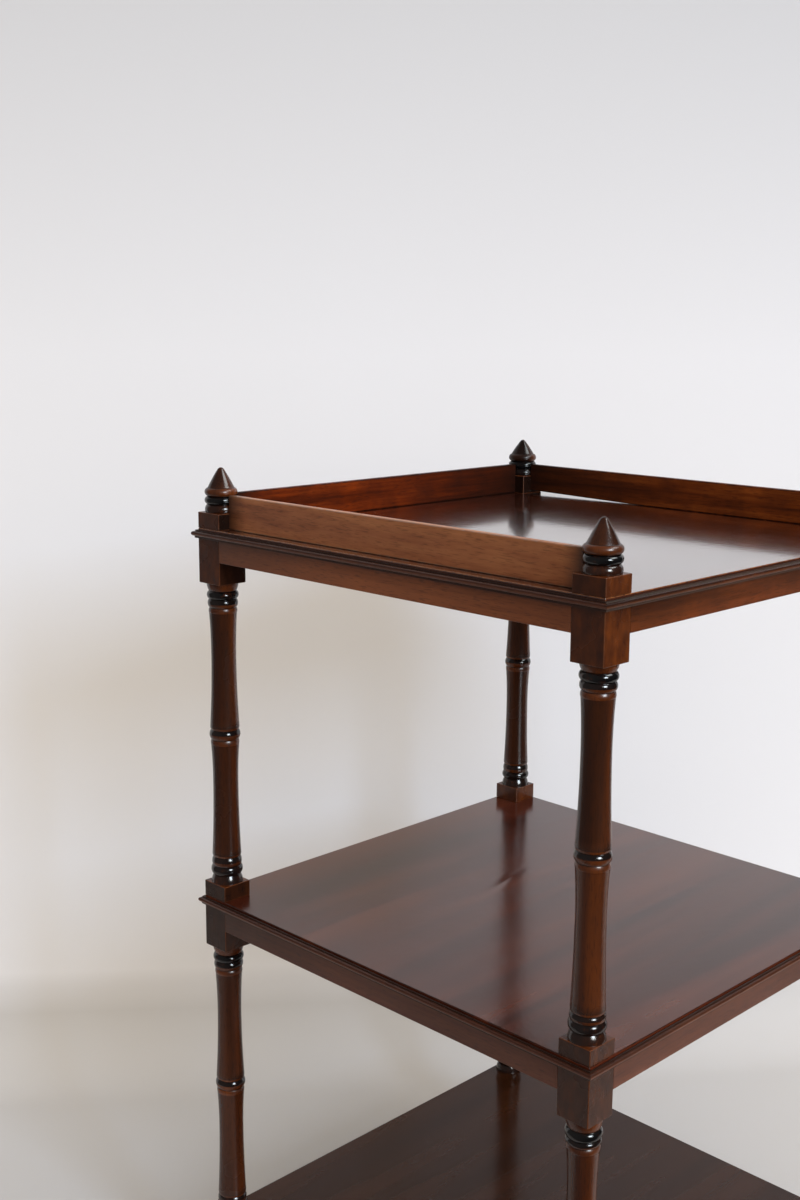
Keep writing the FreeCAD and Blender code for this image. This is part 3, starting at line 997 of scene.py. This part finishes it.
@dataclass
class Columns(Post):
    """The ring-turned columns between the shelves."""

    foot_radius: float = 16.3
    pin_stand: float = 22.0             # how far a pin stands over its block
    plinth_height: float = 15.5
    base: tuple[Bead, ...] = (
        Bead("base_bell", 8.9, 15.5, 13.8, black=0.8),
        Bead("large_ring", 10.9, 16.3, 14.5, black=0.95, rub=0.8),
        Bead("small_ring", 8.4, 15.3, 13.8, black=0.9, black_below=0.3),
    )
    lower: Shaft = Shaft(
        waist=12.85, waist_drop=38.7, radius=14.25, shoulder=Bead("shoulder", 5.6, 14.5, 13.8, dirt_and_painted_light=0.1)
    )
    middle_ring: Bead = Bead("middle_ring", 10.2, 15.7, 13.8, black=0.95, black_below=0.05, black_from=0.55)
    upper: Shaft = Shaft(
        waist=12.5, waist_drop=43.0, radius=13.9, shoulder=Bead("shoulder", 5.6, 14.3, 13.4, dirt_and_painted_light=0.1)
    )
    # the painted shade on the lower and the upper shaft of a column that differs from the rest
    shaft_shade: dict[str, Pair] = field(
        default_factory=lambda: {
            "upper_column_front_left": (0.12, 0.62),
            "lower_column_front_left": (0.1, 0.1),
        }
    )
    # how much taller than usual the turner left each member, by column
    by_eye: dict[str, dict[str, float]] = field(
        default_factory=lambda: {
            "upper_column_front_left": {
                "plinth": -1.0, "base_bell": -0.9, "large_ring": -1.7, "small_ring": -1.6,
                "lower_shaft": -1.2, "middle_ring": -0.5, "collar": -0.9, "ring": -0.2, "quarter_round": -1.9,
            },
            "upper_column_back_left": {
                "plinth": 0.5, "base_bell": -0.6, "large_ring": -0.9, "small_ring": 1.0,
                "lower_shaft": -0.6, "quarter_round": -0.4,
            },
            "upper_column_back_right": {
                "plinth": 2.2, "base_bell": -0.5, "large_ring": -2.0, "small_ring": 0.8,
            },
            "lower_column_front_left": {"collar": -2.9, "ring": 0.8, "quarter_round": 0.9},
        }
    )

    def build(self, storey: Storey, corner: Corner, finishes: Finishes) -> None:
        """Makes one column.

        Args:
            storey: Its storey. Only an upper column stands on a plinth.
            corner: Its corner.
            finishes: The finishes.
        """
        node = f"{storey.label}_column_{corner.label}"
        low, high = millimetres(node)
        by_eye = self.by_eye.get(node, {})
        block_z = high.z - self.pin_stand - self.block_height
        plinth = self.plinth_height + by_eye.get("plinth", 0.0) if storey is Storey.UPPER else 0.0
        lathe = Lathe(low.z + plinth, self.foot_radius, by_eye)
        members = (*self.base, self.middle_ring, *self.neck)
        shafts = block_z - low.z - plinth - sum(lathe.height_of(member) for member in members)
        longer_below = by_eye.get("lower_shaft", 0.0)
        lower_shade, upper_shade = self.shaft_shade.get(node, (self.lower.stain, self.upper.stain))
        for member in self.base:
            lathe.bead(member)
        lathe.shaft(replace(self.lower, stain=lower_shade), shafts / 2 + longer_below)
        lathe.bead(self.middle_ring)
        lathe.shaft(replace(self.upper, stain=upper_shade), shafts / 2 - longer_below)
        for member in self.neck:
            lathe.bead(member)
        lathe.spin()
        self.squared(lathe, block_z, block_z + self.block_height, node)
        if plinth:
            self.squared(lathe, low.z, low.z + plinth, f"{node}_plinth")
        self.stand(lathe, f"{corner.label}_{storey.label}_column", node, finishes)


@dataclass
class Finials(Post):
    """The plinths, rings and blunt cones over the posts."""

    foot_radius: float = 15.6
    plinth_height: float = 15.5
    members: tuple[Bead, ...] = (
        Bead("torus", 7.8, 16.1, 13.8, black=0.75),
        Bead("ring", 7.6, 16.4, 13.4, black=1.0),
        Bead("cap_ring", 7.8, 16.3, 13.3),
        Bead("cone", 18.7, 8.65, 3.4, black=0.62, dirt_and_painted_light=0.0),
    )
    tip_height: float = 2.1
    # how much painted shade the rings and the cone carry all round
    shade_on_turning: dict[Corner, float] = field(
        default_factory=lambda: {Corner.BACK_RIGHT: 0.85, Corner.BACK_LEFT: 0.15}
    )
    # how much taller than usual the turner left each member
    by_eye: dict[Corner, dict[str, float]] = field(
        default_factory=lambda: {
            Corner.FRONT_LEFT: {"cone": -0.2},
            Corner.BACK_LEFT: {"plinth": 0.5, "torus": 0.3, "ring": 0.4, "cap_ring": 0.4, "cone": -0.9},
            Corner.BACK_RIGHT: {"plinth": 5.0, "ring": 1.0, "cap_ring": 0.8, "cone": -4.2},
        }
    )

    def build(self, corner: Corner, finishes: Finishes) -> None:
        """Makes one finial.

        Args:
            corner: Its corner.
            finishes: The finishes.
        """
        node = f"finial_{corner.label}"
        base = millimetres(node)[0].z
        by_eye = self.by_eye.get(corner, {})
        plinth = self.plinth_height + by_eye.get("plinth", 0.0)
        lathe = Lathe(base + plinth, self.foot_radius, by_eye, self.shade_on_turning.get(corner, 0.0))
        for member in self.members:
            lathe.bead(member)
        start = lathe.point.co.copy()
        bend = (start.x ** 2 + self.tip_height ** 2) / (2 * self.tip_height)
        half = math.asin(start.x / bend) / 2
        top = start.z + self.tip_height
        middle = Vector((bend * math.sin(half), 0.0, top - bend * (1 - math.cos(half))))
        lathe.arc(middle, Vector((0.0, 0.0, top)))
        lathe.spin()
        self.squared(lathe, base, base + plinth, node)
        self.stand(lathe, f"{corner.label}_finial", node, finishes)


@dataclass
class Feet(Post):
    """The corner blocks of the bottom tier on their short turned feet."""

    pad_radius: float = 10.5
    pad_height: float = 3.0
    toe: Bead = Bead("toe", 26.6, 17.0, 13.8)

    def build(self, corner: Corner, finishes: Finishes) -> None:
        """Makes one foot.

        Args:
            corner: Its corner.
            finishes: The finishes.
        """
        node = f"foot_{corner.label}"
        lathe = Lathe(0.0, self.pad_radius)
        lathe.line(self.pad_height, self.pad_radius)
        for member in (self.toe, *self.neck):
            lathe.bead(member)
        block_z = lathe.point.co.z
        lathe.spin()
        self.squared(lathe, block_z, block_z + self.block_height, node)
        self.stand(lathe, f"{corner.label}_foot", node, finishes)


@dataclass
class Shelf:
    """A shelf board with its rails and edge moulding."""

    tier: Tier
    arris: float = 0.8
    creases: dict[Tier, Crease] = field(
        default_factory=lambda: {
            Tier.MIDDLE: Crease(Vector((12.0, 60.5, 0.0)), turn=13.4, length=170.0, width=22.0, depth=0.3)
        }
    )
    rail_arris: float = 0.6
    tenon: float = 16.0                 # the part of a rail that its corner block hides
    end_shade_and_dirt: float = 0.5                 # how dark the left rails are painted at their back ends: painted shade and dirt
    end_shade_length: float = 190.0
    lip_width: float = 2.6
    lip_height: float = 2.0
    lip_dirt_and_painted_light: float = 0.6
    roll_setback: float = 3.0
    roll_steps: int = 10
    roll_rubbed: Pair = (0.15, 0.45)    # the part of the roll, from below, that is rubbed bare
    roll_black_from: float = 0.55
    roll_black: float = 0.6
    fillet_width: float = 2.2
    fillet_height: float = 1.4
    top_drop: float = 2.0
    quirk_width: float = 0.9
    quirk_depth: float = 1.0
    upper_dirt_and_painted_light: tuple[float, ...] = (1.0, 0.25, 0.0, 0.0, 0.0)     # dirt and painted shade in the angle over the roll
    upper_shade: tuple[float, ...] = (0.0, 0.8, 0.9, 1.0, 1.0)     # and painted shade in the sunk quirk

    def build(self, finishes: Finishes) -> None:
        """Makes the board, its rails and its mouldings.

        Args:
            finishes: The finishes.
        """
        self._board(finishes.shelves[self.tier])
        for side in Side:
            self._rail(side, finishes.rails[self.tier, side])
            self._moulding(side, finishes.mouldings[self.tier, side])

    def _board(self, material: bpy.types.Material) -> None:
        """Makes the shelf board.

        Args:
            material: Its finish.
        """
        node = f"{self.tier.label}_shelf"
        blank = Blank()
        blank.bar(*millimetres(node), self.arris)
        if self.tier in self.creases:
            blank.press(self.creases[self.tier])
        blank.finish(f"{self.tier.label}_board", node, material)

    def _rail(self, side: Side, material: bpy.types.Material) -> None:
        """Makes the seen length of a rail, between the corner blocks.

        Args:
            side: The rail's side.
            material: Its finish.
        """
        node = f"{self.tier.label}_rail_{side.label}"
        low, high = millimetres(node)
        low, high = low + side.along * self.tenon, high - side.along * self.tenon
        blank = Blank()
        blank.bar(low, high, self.rail_arris, side.along)
        if side is Side.LEFT:
            blank.end_shade_and_dirt(high, -side.along, self.end_shade_length, self.end_shade_and_dirt)
        blank.finish(f"{self.tier.label}_{side.label}_rail", node, material)

    def _profile(self, blank: Blank, start: Vector, thickness: float) -> bmesh.types.BMFace:
        """Draws the moulding's profile: the lip, the half-round roll, the fillet and the sunk quirk.

        Args:
            blank: The blank that takes it.
            start: The bottom of the shelf's edge, where the profile begins.
            thickness: The shelf's thickness.

        Returns:
            The profile, as one face.
        """
        mesh = blank.mesh

        def at(width: float, height: float) -> bmesh.types.BMVert:
            """A point of the profile, by its width from the shelf and its height over the shelf's bottom."""
            return mesh.verts.new(start + Vector((0.0, -width, height)))

        top = thickness - self.top_drop
        roll_top = top - self.fillet_height
        lip = [at(0.0, 0.0), at(self.lip_width, 0.0), at(self.lip_width, self.lip_height)]
        lip.append(at(self.roll_setback, self.lip_height))
        before = len(mesh.verts)
        bmesh.ops.spin(
            mesh,
            geom=[lip[-1]],
            cent=start + Vector((0.0, -self.roll_setback, (roll_top + self.lip_height) / 2)),
            axis=(-1.0, 0.0, 0.0),
            angle=math.pi,
            steps=self.roll_steps,
        )
        mesh.verts.ensure_lookup_table()
        roll = mesh.verts[before:]
        upper = [
            at(self.fillet_width, roll_top),
            at(self.fillet_width, top),
            at(self.quirk_width, top),
            at(self.quirk_width, top - self.quirk_depth),
            at(0.0, top - self.quirk_depth),
        ]
        for point in lip:
            point[blank.groove] = self.lip_dirt_and_painted_light
        for step, point in enumerate(roll, start=1):
            share = step / len(roll)
            point[blank.rub] = 1.0 if self.roll_rubbed[0] < share < self.roll_rubbed[1] else 0.0
            point[blank.ebony] = self.roll_black if share > self.roll_black_from else 0.0
        for point, dirt_and_painted_light, stain in zip(upper, self.upper_dirt_and_painted_light, self.upper_shade):
            point[blank.groove] = dirt_and_painted_light
            point[blank.stain] = stain
        for edge in mesh.edges[:]:
            mesh.edges.remove(edge)
        return mesh.faces.new(lip + list(roll) + upper)

    def _moulding(self, side: Side, material: bpy.types.Material) -> None:
        """Makes one mitred length of the edge moulding.

        Args:
            side: The moulding's side.
            material: Its finish.
        """
        low, high = millimetres(f"{self.tier.label}_shelf")
        half_length, reach = (high.x, high.y) if side.across else (high.y, high.x)
        blank = Blank()
        section = self._profile(blank, Vector((-half_length, -reach, low.z)), high.z - low.z)
        drawn = bmesh.ops.extrude_face_region(blank.mesh, geom=[section])["geom"]
        far = [part for part in drawn if isinstance(part, bmesh.types.BMVert)]
        bmesh.ops.translate(blank.mesh, vec=(2 * half_length, 0.0, 0.0), verts=far)
        for point in blank.mesh.verts:
            width = -reach - point.co.y
            point.co.x += math.copysign(width, point.co.x)
        blank.finish(
            f"{self.tier.label}_{side.label}_moulding",
            f"{self.tier.label}_moulding_{side.label}",
            material,
            Matrix.Rotation(side.turn, 4, "Z"),
        )


@dataclass
class Gallery:
    """The low boards round three sides of the top."""

    arris: float = 1.2
    tongue: float = 5.0                 # the part of a board that its post hides
    lifted_height: float = 3.2
    lifted_length: float = 162.0
    end_shade_and_dirt: float = 0.85                # how dark the board is painted where it meets a post: painted shade from the post, and dirt
    # how far that reaches from the board's low end and from its high end
    end_shade_lengths: dict[Side, Pair] = field(
        default_factory=lambda: {
            Side.LEFT: (20.0, 25.0), Side.BACK: (40.0, 230.0), Side.RIGHT: (40.0, 215.0),
        }
    )

    def build(self, side: Side, finishes: Finishes) -> None:
        """Makes one board.

        Args:
            side: Its side. The right one has lifted at its back end.
            finishes: The finishes.
        """
        node = f"gallery_{side.label}"
        low, high = millimetres(node)
        low, high = low + side.along * self.tongue, high - side.along * self.tongue
        blank = Blank()
        blank.bar(low, high, self.arris, side.along)
        for end, inward, length in zip((low, high), (side.along, -side.along), self.end_shade_lengths[side]):
            blank.end_shade_and_dirt(end, inward, length, self.end_shade_and_dirt)
        if side is Side.RIGHT:
            self._lift(blank, low.z, high.y)
        blank.finish(f"{side.label}_gallery_board", node, finishes.galleries[side])

    def _lift(self, blank: Blank, foot_z: float, end_y: float) -> None:
        """Raises the foot of a board in a wedge towards its back end.

        Args:
            blank: The board.
            foot_z: The height it stands at.
            end_y: Where its back end is.
        """
        start_y = end_y - self.lifted_length
        blank.saw(Vector((0.0, start_y, 0.0)), Vector((0.0, 1.0, 0.0)))
        for point in blank.mesh.verts:
            if point.co.y > start_y and point.co.z < foot_z + 2 * self.arris:
                point.co.z += self.lifted_height * (point.co.y - start_y) / self.lifted_length


# ---------------------------------------------------------------- the studio, in metres


@dataclass
class Sweep:
    """A pale paper sweep: floor, cove and wall in one, close behind the etagere as the camera sees it."""

    yaw: float = 39.4                   # degrees from +Y towards +X
    wall_distance: float = 0.60         # from the middle of the floor
    front: float = 0.5
    half_width: float = 1.6
    height: float = 3.2
    cove: float = 0.12
    cove_steps: int = 24
    paper: str = "#e6e6e8"
    floor: str = "#c3c2c1"              # painted shade: a darker grey over the foot, for the shade and fall-off by the floor
    top: str = "#cccccd"                # painted shade: a darker grey over the top, which the lamps hardly reach
    floor_span: Pair = (0.14, 0.08)     # the heights between which the paper turns into the floor's
    top_span: Pair = (1.02, 1.6)        # and into the top's

    def build(self) -> None:
        """Makes the sweep and its paper."""
        mesh = bmesh.new()
        start, foot = (
            mesh.verts.new((-self.half_width, y, 0.0)) for y in (-self.front, self.wall_distance - self.cove)
        )
        mesh.edges.new((start, foot))
        bmesh.ops.spin(
            mesh,
            geom=[foot],
            cent=(-self.half_width, self.wall_distance - self.cove, self.cove),
            axis=(1.0, 0.0, 0.0),
            angle=math.pi / 2,
            steps=self.cove_steps,
        )
        mesh.verts.ensure_lookup_table()
        last = mesh.verts[-1]
        mesh.edges.new((last, mesh.verts.new((-self.half_width, self.wall_distance, self.height))))
        drawn = bmesh.ops.extrude_edge_only(mesh, edges=mesh.edges[:])["geom"]
        far = [part for part in drawn if isinstance(part, bmesh.types.BMVert)]
        bmesh.ops.translate(mesh, vec=(2 * self.half_width, 0.0, 0.0), verts=far)
        turned = Matrix.Rotation(-math.radians(self.yaw), 3, "Z")
        bmesh.ops.rotate(mesh, cent=(0.0, 0.0, 0.0), matrix=turned, verts=mesh.verts[:])
        bmesh.ops.recalc_face_normals(mesh, faces=mesh.faces[:])
        floor = min(mesh.faces, key=lambda face: face.calc_center_median().z)
        if floor.normal.z < 0:
            bmesh.ops.reverse_faces(mesh, faces=mesh.faces[:])
        data = bpy.data.meshes.new("paper_sweep")
        mesh.to_mesh(data)
        mesh.free()
        data.shade_smooth()
        data.materials.append(self._material())
        sweep = bpy.data.objects.new("paper_sweep", data)
        bpy.context.scene.collection.objects.link(sweep)

    def _material(self) -> bpy.types.Material:
        """Matt paper, which a camera behind it sees through: pale, with painted shade in a darker grey at the
        foot and at the top.

        Returns:
            The material.
        """
        material, tree = new_material("matt_paper")
        coords = add_node(tree, "TexCoord").outputs["Object"]
        height = add_node(tree, "SeparateXYZ", {"Vector": coords}).outputs["Z"]
        colour = linear(self.paper)
        for span, tint in ((self.floor_span, self.floor), (self.top_span, self.top)):
            share = add_node(tree, "MapRange", mapped(height, span))
            colour = add_node(
                tree, "Mix", {"Factor": share, MIX_A: colour, MIX_B: linear(tint)}, data_type="RGBA"
            )
        paper = add_node(
            tree, "BsdfPrincipled", {"Base Color": colour, "Roughness": 0.95, "Specular IOR Level": 0.0}
        )
        clear = add_node(tree, "BsdfTransparent")
        back = add_node(tree, "NewGeometry").outputs["Backfacing"]
        camera = add_node(tree, "LightPath").outputs["Is Camera Ray"]
        seen_from_behind = add_node(tree, "Math", {0: back, 1: camera}, operation="MULTIPLY")
        surface = add_node(tree, "MixShader", {0: seen_from_behind, 1: paper, 2: clear})
        add_node(tree, "OutputMaterial", {"Surface": surface})
        return material


@dataclass
class Lamp:
    """A rectangular soft light that points at the etagere."""

    name: str
    place: Vector
    width: float
    height: float
    power: float
    colour: str = "#ffffff"
    glare: bool = False                 # True for a light that only the polish mirrors
    target: Vector = field(default_factory=lambda: Vector((0.0, 0.0, 0.6)))

    def build(self) -> None:
        """Hangs the lamp."""
        data = bpy.data.lights.new(self.name, "AREA")
        data.shape = "RECTANGLE"
        data.size, data.size_y = self.width, self.height
        data.energy = self.power
        data.color = linear(self.colour)[:3]
        lamp = bpy.data.objects.new(self.name, data)
        lamp.location = self.place
        lamp.rotation_mode = "QUATERNION"
        lamp.rotation_quaternion = (self.place - self.target).to_track_quat("Z", "Y")
        lamp.visible_camera = False
        lamp.visible_diffuse = not self.glare
        bpy.context.scene.collection.objects.link(lamp)


@dataclass
class Studio:
    """The camera, the lamps and the air round the etagere."""

    eye: Vector = field(default_factory=lambda: Vector((-1.1338, -0.9213, 1.0787)))
    yaw: float = 44.97                  # degrees from +Y towards +X
    pitch: float = 11.025               # degrees down
    roll: float = 0.402
    lens: float = 44.42                 # millimetres, as the sensor is
    sensor: float = 36.0                # along the picture's long side
    fill: str = "#fff3e3"               # the room's own lamps and its pale ceiling, a broad soft fill
    fill_light: float = 2.2
    fill_from: Vector = field(default_factory=lambda: Vector((0.1, -0.84, 0.53)))
    fill_below: float = 0.35            # what is left of it under the horizon, from the room's floor
    horizon: Pair = (-0.1, 0.1)
    air_light: float = 0.03             # the least light from anywhere
    lit_side: str = "#7f7a78"           # what the polish mirrors on the left of the room
    dark_side: str = "#2e2a28"          # and on its right
    left: Vector = field(default_factory=lambda: Vector((-0.75, 0.66, 0.0)))
    side_span: Pair = (-0.3, 0.8)
    surround: str = "#e4e4e4"           # what a camera sees past the paper
    lamps: Sequence[Lamp] = (
        Lamp("window", Vector((-1.215, -6.45, 3.675)), 1.6, 2.25, 270.0, "#c4deff"),
        Lamp("window_glare", Vector((-1.3, -6.6, 3.4)), 2.6, 2.6, 480.0, "#f2f6f0", glare=True),
        Lamp("skylight_glare", Vector((1.25, -2.3, 3.9)), 2.2, 1.3, 90.0, "#f2fafa", glare=True),
    )

    def build(self) -> None:
        """Sets up the camera, the lamps and the world."""
        self._camera()
        for lamp in self.lamps:
            lamp.build()
        self._world()
        bpy.context.scene.view_settings.view_transform = "Standard"

    def _world(self) -> None:
        """Fills the room: warm light from the front for the surfaces, and two dim walls for the polish."""
        world = bpy.data.worlds.new("room_air")
        world.use_nodes = True
        tree = world.node_tree
        tree.nodes.clear()
        ray = add_node(tree, "TexCoord").outputs["Generated"]
        leftward, forward = (
            add_node(tree, "VectorMath", {0: ray, 1: way}, operation="DOT_PRODUCT").outputs["Value"]
            for way in (self.left, self.fill_from)
        )
        side = add_node(tree, "MapRange", mapped(leftward, self.side_span))
        walls = add_node(
            tree,
            "Mix",
            {"Factor": side, MIX_A: linear(self.dark_side), MIX_B: linear(self.lit_side)},
            data_type="RGBA",
        )
        strength = add_node(tree, "MapRange", mapped(forward, after=(self.air_light, self.fill_light)))
        rise = add_node(tree, "SeparateXYZ", {"Vector": ray}).outputs["Z"]
        above = add_node(tree, "MapRange", mapped(rise, self.horizon, (self.fill_below, 1.0)))
        level = add_node(tree, "Math", {0: strength, 1: above}, operation="MULTIPLY")
        air = add_node(tree, "Background", {"Color": linear(self.fill), "Strength": level})
        room = add_node(tree, "Background", {"Color": walls})
        beyond = add_node(tree, "Background", {"Color": linear(self.surround)})
        path = add_node(tree, "LightPath").outputs
        lit = add_node(tree, "MixShader", {0: path["Is Glossy Ray"], 1: air, 2: room})
        seen = add_node(tree, "MixShader", {0: path["Is Camera Ray"], 1: lit, 2: beyond})
        add_node(tree, "OutputWorld", {"Surface": seen})
        bpy.context.scene.world = world

    def _camera(self) -> None:
        """Sets the camera at the eye."""
        data = bpy.data.cameras.new("camera")
        data.sensor_fit = "AUTO"
        data.sensor_width = self.sensor
        data.lens = self.lens
        camera = bpy.data.objects.new("camera", data)
        camera.matrix_world = (
            Matrix.Translation(self.eye)
            @ Matrix.Rotation(-math.radians(self.yaw), 4, "Z")
            @ Matrix.Rotation(math.radians(90.0 - self.pitch), 4, "X")
            @ Matrix.Rotation(math.radians(self.roll), 4, "Z")
        )
        bpy.context.scene.collection.objects.link(camera)
        bpy.context.scene.camera = camera


def dress_hidden_pieces(finishes: Finishes) -> None:
    """Gives the glue blocks and screws, which keep their own shapes, their finishes.

    Args:
        finishes: The finishes.
    """
    for tier in Tier:
        for node, material in (
            (f"{tier.label}_glue_blocks", finishes.pine),
            (f"{tier.label}_shelf_screws", finishes.iron),
        ):
            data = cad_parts[node].data
            data.materials.clear()
            data.materials.append(material)
            log.info("dressed %s", node)


def main() -> None:
    """Builds the etagere round its frame and sets up the studio."""
    logging.basicConfig(level=logging.INFO, format="%(name)s: %(message)s")
    Studio().build()
    Sweep().build()
    finishes = Finishes()
    for tier in Tier:
        Shelf(tier).build(finishes)
    columns, finials, feet = Columns(), Finials(), Feet()
    for corner in Corner:
        feet.build(corner, finishes)
        for storey in Storey:
            columns.build(storey, corner, finishes)
        finials.build(corner, finishes)
    gallery = Gallery()
    for side in (Side.LEFT, Side.BACK, Side.RIGHT):
        gallery.build(side, finishes)
    dress_hidden_pieces(finishes)


if __name__ == "__main__":
    main()
